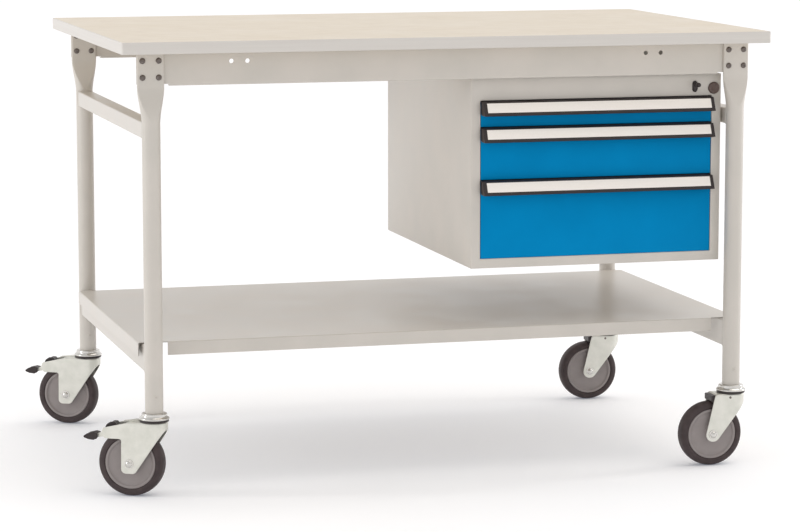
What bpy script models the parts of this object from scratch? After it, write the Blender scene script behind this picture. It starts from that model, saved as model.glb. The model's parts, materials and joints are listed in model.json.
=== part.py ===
"""Mobile workbench with an under-bench cabinet of three drawers.

A laminated top stands on four tube legs whose upper ends are pressed flat and bolted to two folded
aprons. A tray shelf rests on the lower side bars, a drawer cabinet hangs under the right half, and
every leg ends in a swivel caster; the two left casters carry foot brakes.

Metres, +Z up, floor at Z = 0, front towards -Y. Every piece is its own object.
"""

import math

import bmesh
import bpy
from mathutils import Matrix

# ---- driving dimensions ---------------------------------------------------------------------------
TOP_WIDTH = 1.250
TOP_DEPTH = 0.800
TOP_HEIGHT = 0.840
TOP_THICKNESS = 0.022
EDGE_BAND = 0.002
GAP = 0.0003                       # left between pieces that touch

LEG_X = 0.567                      # leg axes, from the bench's middle
LEG_Y = 0.365
LEG_RADIUS = 0.017
LEG_WALL = 0.002
LEG_BOTTOM = 0.1563
PLATE_HALF_WIDTH = 0.0252          # the flattened upper end
PLATE_HALF_THICKNESS = 0.00275
PLATE_BOTTOM = 0.755
TAPER_BOTTOM = 0.692
BORE_TOP = 0.700

APRON_HEIGHT = 0.060
APRON_SHEET = 0.002
APRON_TOP_FLANGE = 0.030
APRON_LOW_FLANGE = 0.015
APRON_LIP_CUT = 0.010              # from the leg plate to the lip's end
APRON_HOLES_X = (-0.416, -0.386, 0.386, 0.416)
APRON_HOLE_RADIUS = 0.0042
APRON_HOLE_DROP = 0.017            # below the underside of the top

BAR_WIDTH = 0.030
UPPER_BAR_Z = (0.662, 0.692)
LOWER_BAR_Z = (0.231, 0.281)
BAR_WALL = 0.002

SHELF_HALF_WIDTH = 0.590
SHELF_HALF_DEPTH = 0.338
SHELF_TOP = 0.283
SHELF_SHEET = 0.0015
SHELF_LIP = 0.025
FRONT_LIP_HALF = 0.535             # the lip stops short of the side bars

CABINET_WIDTH = 0.500
CABINET_DEPTH = 0.600
CABINET_HEIGHT = 0.360
CABINET_X = 0.297                  # its middle
CABINET_FRONT = -0.342
CABINET_WALL = 0.0015
FRAME_DEPTH = 0.006
STILE = 0.0185
LOW_RAIL = 0.018
FRONT_PITCHES = (0.150, 0.100, 0.050)      # from the lowest drawer up
FRONT_GAP = 0.002
FRONT_RECESS = 0.001
FRONT_DEPTH = 0.016
FRONT_SHEET = 0.0015

BOX_HALF_WIDTH = 0.216
BOX_DEPTH = 0.550
BOX_WALL = 0.0012
BOX_FLANGE = 0.013
RUNNER_SHEET = 0.0015

HANDLE_HEIGHT = 0.0255
HANDLE_OUT_TOP = 0.013
HANDLE_OUT_LOW = 0.025
HANDLE_WALL = 0.003
STRIP_THICKNESS = 0.0008
STRIP_HALF_LENGTH = 0.2235

LOCK_X = 0.494
LOCK_Z = 0.7335
LOCK_HALF = (0.0047, 0.0105)       # half width, half height of the oval face
KEY_Z = 0.7375
PLUG_X = 0.532
PLUG_Z = 0.730
PLUG_RADIUS = 0.0115

WHEEL_RADIUS = 0.0625
TREAD_HALF = 0.016
CASTER_TRAIL = 0.043
FORK_TOP = 0.1405
CHEEK_INNER = 0.020
CHEEK_SHEET = 0.0025
AXLE_RADIUS = 0.006
RUNNING_GAP = 0.0003
KINGPIN_RADIUS = 0.008

LEVER_TIP = 0.134                  # reach of the brake pedal behind the swivel axis
LEVER_HALF_WIDTH = 0.013
LEVER_PIVOT = (-0.078, 0.128)

LEFT_SWIVEL = math.radians(28.0)
FRONT_RIGHT_SWIVEL = math.radians(0.0)
BACK_RIGHT_SWIVEL = math.radians(3.0)

# ---- what follows from them -----------------------------------------------------------------------
UNDERSIDE = TOP_HEIGHT - TOP_THICKNESS
APRON_BOTTOM = UNDERSIDE - APRON_HEIGHT
CABINET_TOP = APRON_BOTTOM - 0.0005
CABINET_BOTTOM = CABINET_TOP - CABINET_HEIGHT
OPENING_HALF = CABINET_WIDTH / 2 - STILE
OPENING_LOW = CABINET_BOTTOM + LOW_RAIL
OPENING_TOP = OPENING_LOW + sum(FRONT_PITCHES)
INNER_HALF = CABINET_WIDTH / 2 - CABINET_WALL

# The left pedals reach past the top, to the left and to the back, so the bench stands a little off
# the origin and the whole object's box is centred on it.
PEDAL_LEFT = (LEVER_TIP * math.cos(LEFT_SWIVEL)
              + LEVER_HALF_WIDTH * math.sin(LEFT_SWIVEL))
PEDAL_BACK = (LEVER_TIP * math.sin(LEFT_SWIVEL)
              + LEVER_HALF_WIDTH * math.cos(LEFT_SWIVEL))
BENCH_X = (LEG_X + PEDAL_LEFT - TOP_WIDTH / 2) / 2
BENCH_Y = -(LEG_Y + PEDAL_BACK - TOP_DEPTH / 2) / 2

COLOURS = {                        # sRGB hex, roughness, metallic
    "laminate": ("E3D9C8", 0.55, 0.0),
    "edging": ("D2CDC8", 0.5, 0.0),
    "frame_paint": ("C9C4BD", 0.45, 0.0),
    "front_paint": ("0080BC", 0.4, 0.0),
    "galvanised": ("B9B7B0", 0.4, 0.8),
    "zinc": ("CFCDC2", 0.35, 0.8),
    "chrome": ("D8D8D6", 0.12, 1.0),
    "black_plastic": ("2A2122", 0.45, 0.0),
    "brown_plastic": ("5A4A44", 0.45, 0.0),
    "label_strip": ("EFE9E2", 0.4, 0.0),
    "tyre_rubber": ("3C3031", 0.7, 0.0),
    "grey_plastic": ("8E8684", 0.5, 0.0),
}


def clear_scene():
    for old in list(bpy.data.objects):
        bpy.data.objects.remove(old, do_unlink=True)


def linear(hex_colour):
    """An sRGB hex colour as the linear RGBA that the shader takes."""
    parts = [int(hex_colour[i:i + 2], 16) / 255 for i in (0, 2, 4)]
    return [c / 12.92 if c <= 0.04045 else ((c + 0.055) / 1.055) ** 2.4 for c in parts] + [1.0]


def paint(name):
    """The material of that name, made on first use."""
    if name in bpy.data.materials:
        return bpy.data.materials[name]
    colour, roughness, metallic = COLOURS[name]
    made = bpy.data.materials.new(name)
    made.use_nodes = True
    shader = made.node_tree.nodes["Principled BSDF"]
    shader.inputs["Base Color"].default_value = linear(colour)
    shader.inputs["Roughness"].default_value = roughness
    shader.inputs["Metallic"].default_value = metallic
    return made


def axis_point(name, location, parent=None, turn=0.0):
    """An empty that marks a joint's axis or a group's place."""
    mark = bpy.data.objects.new(name, None)
    mark.location = location
    mark.rotation_euler = (0.0, 0.0, turn)
    mark.parent = parent
    bpy.context.collection.objects.link(mark)
    return mark


def add_piece(name, bm, material, parent, smooth=False):
    """Turns a bmesh into the named object."""
    bmesh.ops.recalc_face_normals(bm, faces=bm.faces)
    mesh = bpy.data.meshes.new(name)
    bm.to_mesh(mesh)
    bm.free()
    mesh.materials.append(paint(material))
    if smooth:
        mesh.shade_smooth()
        mesh.set_sharp_from_angle(angle=math.radians(35))
    piece = bpy.data.objects.new(name, mesh)
    piece.parent = parent
    bpy.context.collection.objects.link(piece)
    return piece


def prism_mesh(outline, axis, start, end):
    """A closed outline pushed from start to end along an axis.

    The outline holds (y, z) points for X, (x, z) for Y and (x, y) for Z.
    """
    place = {
        "X": lambda a, b, t: (t, a, b),
        "Y": lambda a, b, t: (a, t, b),
        "Z": lambda a, b, t: (a, b, t),
    }[axis]
    bm = bmesh.new()
    near = [bm.verts.new(place(a, b, start)) for a, b in outline]
    far = [bm.verts.new(place(a, b, end)) for a, b in outline]
    bm.faces.new(near)
    bm.faces.new(far)
    count = len(outline)
    for i in range(count):
        j = (i + 1) % count
        bm.faces.new((near[i], near[j], far[j], far[i]))
    return bm


def rectangle(low_a, low_b, high_a, high_b):
    return [(low_a, low_b), (high_a, low_b), (high_a, high_b), (low_a, high_b)]


def box_mesh(low, high):
    return prism_mesh(rectangle(low[0], low[1], high[0], high[1]), "Z", low[2], high[2])


def turned_mesh(profile, segments, axis="Z"):
    """A closed (radius, height) profile turned about an axis; a radius of 0 is a pole."""
    bm = bmesh.new()
    rings = []
    for radius, height in profile:
        if radius == 0.0:
            rings.append([bm.verts.new((0.0, 0.0, height))])
            continue
        ring = []
        for k in range(segments):
            angle = 2 * math.pi * k / segments
            ring.append(bm.verts.new((radius * math.cos(angle), radius * math.sin(angle), height)))
        rings.append(ring)
    for i, ring in enumerate(rings):
        after = rings[(i + 1) % len(rings)]
        if len(ring) == 1 and len(after) == 1:
            continue
        for k in range(segments):
            m = (k + 1) % segments
            corners = [ring[k % len(ring)], ring[m % len(ring)],
                       after[m % len(after)], after[k % len(after)]]
            unique = [v for n, v in enumerate(corners) if v not in corners[:n]]
            bm.faces.new(unique)
    if axis == "Y":
        bm.transform(Matrix.Rotation(math.radians(90), 4, "X"))
    return bm


def add_tool(name, bm, parent):
    """A hidden helper that a Boolean reads."""
    tool = add_piece(name, bm, "frame_paint", parent)
    tool.hide_render = True
    tool.display_type = "WIRE"
    return tool


def combine(piece, operation, tool):
    modifier = piece.modifiers.new(tool.name, "BOOLEAN")
    modifier.operation = operation
    modifier.solver = "EXACT"
    modifier.object = tool


def arc(centre, radius, start, end, steps):
    """Points on a circle from one angle to another, in degrees."""
    points = []
    for k in range(steps + 1):
        angle = math.radians(start + (end - start) * k / steps)
        points.append((centre[0] + radius * math.cos(angle), centre[1] + radius * math.sin(angle)))
    return points


# ---- top and frame --------------------------------------------------------------------------------
def make_worktop(bench):
    half_x, half_y = TOP_WIDTH / 2, TOP_DEPTH / 2
    core = EDGE_BAND + GAP
    add_piece("worktop", box_mesh((core - half_x, core - half_y, UNDERSIDE),
                                  (half_x - core, half_y - core, TOP_HEIGHT)), "laminate", bench)
    edging = add_piece("worktop_edging", box_mesh((-half_x, -half_y, UNDERSIDE),
                                                  (half_x, half_y, TOP_HEIGHT)), "edging", bench)
    inside = add_tool("edging_inside", box_mesh(
        (EDGE_BAND - half_x, EDGE_BAND - half_y, UNDERSIDE - 0.01),
        (half_x - EDGE_BAND, half_y - EDGE_BAND, TOP_HEIGHT + 0.01)), bench)
    combine(edging, "DIFFERENCE", inside)


def leg_section(z, segments):
    """The leg's outline at one height: round below, pressed flat above, its girth always the same."""
    share = (z - TAPER_BOTTOM) / (PLATE_BOTTOM - TAPER_BOTTOM)
    share = min(1.0, max(0.0, share))
    ease = share * share * (3 - 2 * share)
    half_y = LEG_RADIUS + (PLATE_HALF_THICKNESS - LEG_RADIUS) * ease
    flat = math.pi * (LEG_RADIUS - half_y) / 2
    points = []
    for k in range(segments):
        angle = 2 * math.pi * k / segments
        across = math.cos(angle)
        side = 0 if abs(across) < 1e-6 else math.copysign(1, across)
        points.append((across * half_y + side * flat, math.sin(angle) * half_y, z))
    return points


def make_leg(name, x, y, bench):
    """A tube, open at the foot for the caster's stem and closed where it is pressed flat."""
    segments = 20
    steps = 4
    heights = [LEG_BOTTOM]
    heights += [TAPER_BOTTOM + (PLATE_BOTTOM - TAPER_BOTTOM) * k / steps for k in range(steps + 1)]
    heights += [UNDERSIDE - GAP]
    bm = bmesh.new()
    outer = [[bm.verts.new(p) for p in leg_section(z, segments)] for z in heights]
    bore = LEG_RADIUS - LEG_WALL
    inner = []
    for z in (LEG_BOTTOM, BORE_TOP - 0.02, BORE_TOP):
        radius = bore if z < BORE_TOP else bore * 0.5
        turns = [2 * math.pi * k / segments for k in range(segments)]
        inner.append([bm.verts.new((radius * math.cos(a), radius * math.sin(a), z)) for a in turns])
    for rings in (outer, inner):
        for low, high in zip(rings, rings[1:]):
            for k in range(segments):
                m = (k + 1) % segments
                bm.faces.new((low[k], low[m], high[m], high[k]))
        bm.faces.new(rings[-1])
    for k in range(segments):
        m = (k + 1) % segments
        bm.faces.new((outer[0][k], outer[0][m], inner[0][m], inner[0][k]))
    leg = add_piece(name, bm, "frame_paint", bench, smooth=True)
    leg.location = (x, y, 0.0)


def make_apron(name, leg_y, bench):
    """A folded channel on the far side of two flattened leg ends; its low lip stops short of them."""
    face = leg_y + PLATE_HALF_THICKNESS + GAP
    top = UNDERSIDE - GAP
    outline = [(face, APRON_BOTTOM), (face, top),
               (face + APRON_TOP_FLANGE, top), (face + APRON_TOP_FLANGE, top - APRON_SHEET),
               (face + APRON_SHEET, top - APRON_SHEET),
               (face + APRON_SHEET, APRON_BOTTOM + APRON_SHEET),
               (face + APRON_LOW_FLANGE, APRON_BOTTOM + APRON_SHEET),
               (face + APRON_LOW_FLANGE, APRON_BOTTOM)]
    half = LEG_X + PLATE_HALF_WIDTH
    apron = add_piece(name, prism_mesh(outline, "X", -half, half), "frame_paint", bench)
    for x in APRON_HOLES_X:
        drill = add_tool(f"{name}_hole", turned_mesh(
            [(0.0, -0.01), (APRON_HOLE_RADIUS, -0.01), (APRON_HOLE_RADIUS, 0.01), (0.0, 0.01)],
            12, "Y"), bench)
        drill.location = (x, face, UNDERSIDE - APRON_HOLE_DROP)
        combine(apron, "DIFFERENCE", drill)
    for side in (-1, 1):
        lip_end = side * (LEG_X - PLATE_HALF_WIDTH - APRON_LIP_CUT)
        beyond = side * (half + 0.01)
        notch = add_tool(f"{name}_lip_cut", box_mesh(
            (min(lip_end, beyond), face - 0.01, APRON_BOTTOM - 0.01),
            (max(lip_end, beyond), face + 0.02, APRON_BOTTOM + 0.0035)), bench)
        combine(apron, "DIFFERENCE", notch)


def make_side_bar(name, side, heights, bench):
    """A square tube between the front and back leg, coped round both."""
    low, high = heights
    half = BAR_WIDTH / 2
    reach = LEG_Y - LEG_RADIUS / 3
    bar = add_piece(name, box_mesh((-half, -reach, low), (half, reach, high)), "frame_paint", bench)
    bar.location = (side * LEG_X, 0.0, 0.0)
    hollow = add_tool(f"{name}_inside", box_mesh(
        (BAR_WALL - half, -TOP_DEPTH, low + BAR_WALL),
        (half - BAR_WALL, TOP_DEPTH, high - BAR_WALL)), bench)
    hollow.location = bar.location
    combine(bar, "DIFFERENCE", hollow)
    radius = LEG_RADIUS + GAP
    for end in (-1, 1):
        cope = add_tool(f"{name}_cope", turned_mesh(
            [(0.0, low - 0.01), (radius, low - 0.01), (radius, high + 0.01), (0.0, high + 0.01)],
            20), bench)
        cope.location = (side * LEG_X, end * LEG_Y, 0.0)
        combine(bar, "DIFFERENCE", cope)


def make_shelf(bench):
    """A folded tray: flat sheet on the side bars, lips turned down on all four edges."""
    x, y = SHELF_HALF_WIDTH, SHELF_HALF_DEPTH
    under = SHELF_TOP - SHELF_SHEET
    low = SHELF_TOP - SHELF_LIP
    side_profile = [(-x, low), (-x, SHELF_TOP), (x, SHELF_TOP), (x, low),
                    (x - SHELF_SHEET, low), (x - SHELF_SHEET, under),
                    (SHELF_SHEET - x, under), (SHELF_SHEET - x, low)]
    shelf = add_piece("lower_shelf", prism_mesh(side_profile, "Y", -y, y), "frame_paint", bench)
    for end, start in (("front", -y), ("back", y - SHELF_SHEET)):
        lip = add_tool(f"shelf_lip_{end}", box_mesh(
            (-FRONT_LIP_HALF, start, low),
            (FRONT_LIP_HALF, start + SHELF_SHEET, SHELF_TOP - SHELF_SHEET / 2)), bench)
        combine(shelf, "UNION", lip)


# ---- cabinet --------------------------------------------------------------------------------------
def make_cabinet(bench):
    """The shell, its two hangers under the top and a runner on each side of every drawer."""
    half = CABINET_WIDTH / 2
    back = CABINET_FRONT + CABINET_DEPTH
    cabinet = axis_point("cabinet", (CABINET_X, 0.0, 0.0), bench)
    shell = add_piece("cabinet_shell", box_mesh((-half, CABINET_FRONT, CABINET_BOTTOM),
                                                (half, back, CABINET_TOP)), "frame_paint", cabinet)
    cavity = add_tool("cabinet_cavity", box_mesh(
        (-INNER_HALF, CABINET_FRONT + FRAME_DEPTH, CABINET_BOTTOM + CABINET_WALL),
        (INNER_HALF, back - CABINET_WALL, CABINET_TOP - CABINET_WALL)), cabinet)
    mouth = add_tool("cabinet_mouth", box_mesh(
        (-OPENING_HALF, CABINET_FRONT - 0.01, OPENING_LOW),
        (OPENING_HALF, CABINET_FRONT + FRAME_DEPTH + 0.01, OPENING_TOP)), cabinet)
    lock_slot = add_tool("lock_slot", prism_mesh(lock_oval(GAP), "Y", -0.02, 0.02), cabinet)
    lock_slot.location = (LOCK_X - CABINET_X, CABINET_FRONT, LOCK_Z)
    for tool in (cavity, mouth, lock_slot):
        combine(shell, "DIFFERENCE", tool)
    make_hangers(cabinet)
    bottom = OPENING_LOW
    for number, pitch in zip((3, 2, 1), FRONT_PITCHES):
        make_runners(number, runner_height(bottom, pitch), cabinet)
        make_drawer(number, bottom, pitch, cabinet)
        bottom += pitch
    make_lock(cabinet)


def make_hangers(cabinet):
    """Folded channels between the cabinet's roof and the underside of the top."""
    low = CABINET_TOP + GAP
    high = UNDERSIDE - GAP
    sheet = 0.002
    width = 0.040
    for name, side in (("hanger_left", -1), ("hanger_right", 1)):
        outer = CABINET_WIDTH / 2 - 0.020
        profile = [(outer, low), (outer, high), (outer - width, high),
                   (outer - width, high - sheet), (outer - sheet, high - sheet),
                   (outer - sheet, low + sheet), (outer - width, low + sheet), (outer - width, low)]
        outline = [(side * x, z) for x, z in profile]
        add_piece(name, prism_mesh(outline, "Y", -0.320, 0.240), "galvanised", cabinet)


def runner_height(bottom, pitch):
    """Where the drawer's side flange rides."""
    return bottom + pitch - HANDLE_HEIGHT / 2


def make_runners(number, level, cabinet):
    """Z-shaped rails on the side walls; the drawer's flanges slide on their inner edge."""
    wall = INNER_HALF - GAP
    web_inner = BOX_HALF_WIDTH + 0.004
    depth = 0.014
    for side, word in ((-1, "left"), (1, "right")):
        profile = [(wall, level), (web_inner, level), (web_inner, level - 0.006),
                   (web_inner + RUNNER_SHEET, level - 0.006),
                   (web_inner + RUNNER_SHEET, level - RUNNER_SHEET),
                   (wall - RUNNER_SHEET, level - RUNNER_SHEET),
                   (wall - RUNNER_SHEET, level - depth), (wall, level - depth)]
        outline = [(side * x, z) for x, z in profile]
        start = CABINET_FRONT + 0.045
        add_piece(f"runner_{number}_{word}",
                  prism_mesh(outline, "Y", start, start + 0.500), "galvanised", cabinet)


def make_drawer(number, bottom, pitch, cabinet):
    """Box, front, pull handle and label strip of one drawer, which slides towards -Y."""
    drawer = axis_point(f"drawer_{number}", (0.0, CABINET_FRONT, bottom), cabinet)
    top = pitch - FRONT_GAP
    make_drawer_box(number, runner_height(0.0, pitch), drawer)
    half = OPENING_HALF - 0.001
    front = add_piece(f"drawer_front_{number}", box_mesh(
        (-half, FRONT_RECESS, GAP), (half, FRONT_DEPTH, top)), "front_paint", drawer)
    pan = add_tool(f"front_pan_{number}", box_mesh(
        (FRONT_SHEET - half, FRONT_RECESS + FRONT_SHEET, GAP + FRONT_SHEET),
        (half - FRONT_SHEET, FRONT_DEPTH + 0.01, top - FRONT_SHEET)), drawer)
    combine(front, "DIFFERENCE", pan)
    make_handle(number, top, half, drawer)


def make_drawer_box(number, flange, drawer):
    """An open sheet box whose side walls fold outwards over the runners."""
    start = FRONT_DEPTH + GAP
    end = start + BOX_DEPTH
    low = 0.005
    w, t = BOX_HALF_WIDTH, BOX_WALL
    ride = flange + GAP
    profile = [(-w, low), (w, low), (w, ride), (w + BOX_FLANGE, ride), (w + BOX_FLANGE, ride + t),
               (w - t, ride + t), (w - t, low + t), (t - w, low + t), (t - w, ride + t),
               (-w - BOX_FLANGE, ride + t), (-w - BOX_FLANGE, ride), (-w, ride)]
    body = add_piece(f"drawer_box_{number}", prism_mesh(profile, "Y", start, end),
                     "galvanised", drawer)
    for word, y in (("near", start), ("far", end - t)):
        wall = add_tool(f"box_wall_{word}_{number}", box_mesh(
            (t / 2 - w, y, low + t / 2), (w - t / 2, y + t, ride + t / 2)), drawer)
        combine(body, "UNION", wall)


def make_handle(number, top, half, drawer):
    """A hooked bar along the drawer's upper edge; its slanted face holds a label strip."""
    root = FRONT_RECESS - GAP
    low = top - HANDLE_HEIGHT
    wall = HANDLE_WALL
    outline = [(root, top), (-HANDLE_OUT_TOP, top), (-HANDLE_OUT_LOW, low),
               (wall - HANDLE_OUT_LOW, low), (wall - HANDLE_OUT_TOP, top - wall), (root, top - wall)]
    add_piece(f"drawer_handle_{number}", prism_mesh(outline, "X", -half, half),
              "black_plastic", drawer)
    run = HANDLE_OUT_LOW - HANDLE_OUT_TOP
    length = math.hypot(run, HANDLE_HEIGHT)
    along = (-run / length, -HANDLE_HEIGHT / length)
    out = (-HANDLE_HEIGHT / length, run / length)
    margin = 0.0045
    strip = []
    for down, away in ((margin, GAP), (length - margin, GAP),
                       (length - margin, GAP + STRIP_THICKNESS), (margin, GAP + STRIP_THICKNESS)):
        strip.append((-HANDLE_OUT_TOP + along[0] * down + out[0] * away,
                      top + along[1] * down + out[1] * away))
    add_piece(f"label_strip_{number}",
              prism_mesh(strip, "X", -STRIP_HALF_LENGTH, STRIP_HALF_LENGTH), "label_strip", drawer)


def lock_oval(growth):
    """Upright oval with half-round ends, as (x, z) about its middle."""
    radius = LOCK_HALF[0] + growth
    rise = LOCK_HALF[1] - LOCK_HALF[0]
    return arc((0.0, rise), radius, 0, 180, 6) + arc((0.0, -rise), radius, 180, 360, 6)


def make_lock(cabinet):
    """Oval cylinder, key, the bar that the key lifts to block the drawers, and a round plug."""
    lock = axis_point("lock", (LOCK_X - CABINET_X, CABINET_FRONT, LOCK_Z), cabinet)
    cylinder = add_piece("lock_cylinder", prism_mesh(lock_oval(0.0), "Y", -0.003, 0.022),
                         "black_plastic", lock)
    keyway_radius = 0.0028
    reach = 0.006
    key_centre = (0.0, 0.0, KEY_Z - LOCK_Z)
    keyway = add_tool("keyway", turned_mesh(
        [(0.0, -reach), (keyway_radius, -reach), (keyway_radius, reach), (0.0, reach)],
        10, "Y"), lock)
    keyway.location = key_centre
    combine(cylinder, "DIFFERENCE", keyway)
    turn = axis_point("key_axis", key_centre, lock)
    shaft = keyway_radius - RUNNING_GAP
    add_piece("key", turned_mesh(
        [(0.0, 0.0245), (0.0036, 0.0245), (0.0046, 0.0225), (0.0046, 0.0105), (0.0036, 0.009),
         (shaft, 0.009), (shaft, -0.005), (0.0, -0.005)], 10, "Y"), "black_plastic", turn,
        smooth=True)
    bar_half = 0.0055
    bar_x = CABINET_WIDTH / 2 - STILE / 2 - 0.0005
    add_piece("lock_bar", box_mesh(
        (bar_x - bar_half, CABINET_FRONT + 0.028, OPENING_LOW + 0.010),
        (bar_x + bar_half, CABINET_FRONT + 0.032, OPENING_TOP + 0.005)), "galvanised", cabinet)
    plug = add_piece("round_plug", turned_mesh(
        [(0.0, 0.0045), (PLUG_RADIUS * 0.6, 0.004), (PLUG_RADIUS, 0.002), (PLUG_RADIUS, GAP),
         (0.0, GAP)], 16, "Y"), "brown_plastic", cabinet, smooth=True)
    plug.location = (PLUG_X - CABINET_X, CABINET_FRONT, PLUG_Z)


# ---- casters --------------------------------------------------------------------------------------
def make_head(name, leg_foot):
    """Bearing head: stem up into the leg, flared race cover, kingpin down through the fork."""
    rim = 0.0285
    low = FORK_TOP + GAP
    nut_top = FORK_TOP - 0.0035 - GAP
    profile = [(0.0, LEG_BOTTOM + 0.045), (0.012, LEG_BOTTOM + 0.045),
               (0.012, LEG_BOTTOM - GAP), (0.0185, LEG_BOTTOM - GAP), (0.0200, LEG_BOTTOM - 0.004),
               (0.0250, 0.1480), (rim, 0.1460), (rim, 0.1430), (0.0270, low),
               (KINGPIN_RADIUS, low), (KINGPIN_RADIUS, nut_top), (0.012, nut_top),
               (0.012, nut_top - 0.003), (0.0, nut_top - 0.003)]
    add_piece(name, turned_mesh(profile, 20), "chrome", leg_foot, smooth=True)


def fork_outline(braked):
    """The cheek's side view, x behind the swivel axis being negative."""
    hub = (-CASTER_TRAIL, WHEEL_RADIUS)
    nose = 0.0245
    if braked:
        back = [(-0.0300, 0.0480), (-0.0345, 0.0440), (-0.0550, 0.0445), (-0.0585, 0.0485),
                (-0.0575, 0.108), (-0.090, 0.109), (-0.096, 0.117), (-0.093, 0.1285),
                (-0.040, FORK_TOP)]
    else:
        back = arc(hub, 0.0145, -40, -180, 7) + [(-0.040, 0.1365), (-0.036, FORK_TOP)]
    return [(nose, FORK_TOP), (nose, 0.121)] + back


def make_fork(name, braked, swivel):
    """A pressed steel fork: two cheeks, a top plate and a nose that joins them."""
    outer = CHEEK_INNER + CHEEK_SHEET
    sheet = 0.0035
    fork = add_piece(name, prism_mesh(fork_outline(braked), "Y", -outer, outer), "zinc", swivel)
    roof = FORK_TOP - sheet
    room = [(0.0220, 0.0), (0.0220, roof), (-0.050, roof), (-0.052, 0.2), (-0.2, 0.2), (-0.2, 0.0)]
    inside = add_tool(f"{name}_room", prism_mesh(room, "Y", -CHEEK_INNER, CHEEK_INNER), swivel)
    combine(fork, "DIFFERENCE", inside)
    race = add_tool(f"{name}_race", turned_mesh(
        [(0.0, roof), (0.0290, roof), (0.0290, FORK_TOP - 0.0005), (0.0280, FORK_TOP),
         (0.0, FORK_TOP)], 20), swivel)
    combine(fork, "UNION", race)
    hole = KINGPIN_RADIUS + RUNNING_GAP
    king_hole = add_tool(f"{name}_king_hole", turned_mesh(
        [(0.0, roof - 0.01), (hole, roof - 0.01), (hole, FORK_TOP + 0.01), (0.0, FORK_TOP + 0.01)],
        20), swivel)
    combine(fork, "DIFFERENCE", king_hole)
    bore = AXLE_RADIUS + RUNNING_GAP
    axle_hole = add_tool(f"{name}_axle_hole", turned_mesh(
        [(0.0, -outer - 0.01), (bore, -outer - 0.01), (bore, outer + 0.01), (0.0, outer + 0.01)],
        12, "Y"), swivel)
    axle_hole.location = (-CASTER_TRAIL, 0.0, WHEEL_RADIUS)
    combine(fork, "DIFFERENCE", axle_hole)


def mirrored(half_profile):
    """A closed profile from the half above the wheel's middle plane."""
    return half_profile + [(r, -h) for r, h in reversed(half_profile)]


def make_wheel(prefix, swivel):
    """Tyre, core and axle bolt, all turned about the axle."""
    axle = axis_point(f"{prefix}_axle_axis", (-CASTER_TRAIL, 0.0, WHEEL_RADIUS), swivel)
    seat = 0.0484
    tread = [(seat, TREAD_HALF), (0.0555, TREAD_HALF), (0.0600, 0.0135), (WHEEL_RADIUS, 0.0090)]
    add_piece(f"{prefix}_tyre", turned_mesh(mirrored(tread), 28, "Y"), "tyre_rubber", axle, smooth=True)
    bore = AXLE_RADIUS + RUNNING_GAP
    core = [(bore, 0.0185), (0.0130, 0.0185), (0.0140, 0.0120), (0.0415, 0.0115), (0.0435, 0.0140),
            (seat - 0.0006, 0.0140)]
    add_piece(f"{prefix}_wheel_core", turned_mesh(mirrored(core), 20, "Y"), "grey_plastic", axle,
              smooth=True)
    face = CHEEK_INNER + CHEEK_SHEET + GAP
    bolt = [(0.0, face + 0.005), (0.0055, face + 0.0045), (0.0080, face + 0.002), (0.0080, face),
            (AXLE_RADIUS, face)]
    add_piece(f"{prefix}_axle", turned_mesh(mirrored(bolt), 12, "Y"), "chrome", axle, smooth=True)


def make_brake_lever(prefix, swivel):
    """The rocking pedal of a braked caster, pivoted between the fork's cheeks."""
    pivot_x, pivot_z = LEVER_PIVOT
    pivot = axis_point(f"{prefix}_brake_axis", (pivot_x, 0.0, pivot_z), swivel)
    outline = [(-LEVER_TIP, 0.1085), (-0.126, 0.1140), (-0.114, 0.1165), (-0.1075, 0.1150),
               (-0.096, 0.1180), (-0.0905, 0.1265), (-0.087, 0.1325), (-0.080, 0.1372),
               (-0.073, 0.1368), (-0.070, 0.1325), (-0.070, 0.1230), (-0.074, 0.1200),
               (-0.082, 0.1165), (-0.0935, 0.1105), (-0.1065, 0.1075), (-0.114, 0.1040),
               (-0.126, 0.1045)]
    moved = [(x - pivot_x, z - pivot_z) for x, z in outline]
    add_piece(f"{prefix}_brake_lever",
              prism_mesh(moved, "Y", -LEVER_HALF_WIDTH, LEVER_HALF_WIDTH), "black_plastic", pivot)


def make_caster(prefix, x, y, angle, braked, bench):
    foot = axis_point(f"{prefix}_foot", (x, y, 0.0), bench)
    make_head(f"{prefix}_caster_head", foot)
    swivel = axis_point(f"{prefix}_swivel_axis", (0.0, 0.0, 0.0), foot, turn=-angle)
    make_fork(f"{prefix}_fork", braked, swivel)
    make_wheel(prefix, swivel)
    if braked:
        make_brake_lever(prefix, swivel)


def build():
    clear_scene()
    bench = axis_point("bench", (BENCH_X, BENCH_Y, 0.0))
    make_worktop(bench)
    make_apron("front_apron", -LEG_Y, bench)
    make_apron("back_apron", LEG_Y, bench)
    for side, word in ((-1, "left"), (1, "right")):
        make_leg(f"front_{word}_leg", side * LEG_X, -LEG_Y, bench)
        make_leg(f"back_{word}_leg", side * LEG_X, LEG_Y, bench)
        make_side_bar(f"upper_bar_{word}", side, UPPER_BAR_Z, bench)
        make_side_bar(f"lower_bar_{word}", side, LOWER_BAR_Z, bench)
    make_shelf(bench)
    make_cabinet(bench)
    make_caster("front_left", -LEG_X, -LEG_Y, LEFT_SWIVEL, True, bench)
    make_caster("back_left", -LEG_X, LEG_Y, LEFT_SWIVEL, True, bench)
    make_caster("front_right", LEG_X, -LEG_Y, FRONT_RIGHT_SWIVEL, False, bench)
    make_caster("back_right", LEG_X, LEG_Y, BACK_RIGHT_SWIVEL, False, bench)


build()
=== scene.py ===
"""Mobile workbench with a cabinet of three drawers under its right half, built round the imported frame.

A laminated board lies on a frame of powder-coated tube, the cabinet hangs from the board, a folded tray
rests on the lower bars, and four swivel casters carry it all; the two on the left have foot brakes.
"""
import json
import math

import bmesh
import bpy
from mathutils import Matrix, Vector

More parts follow.
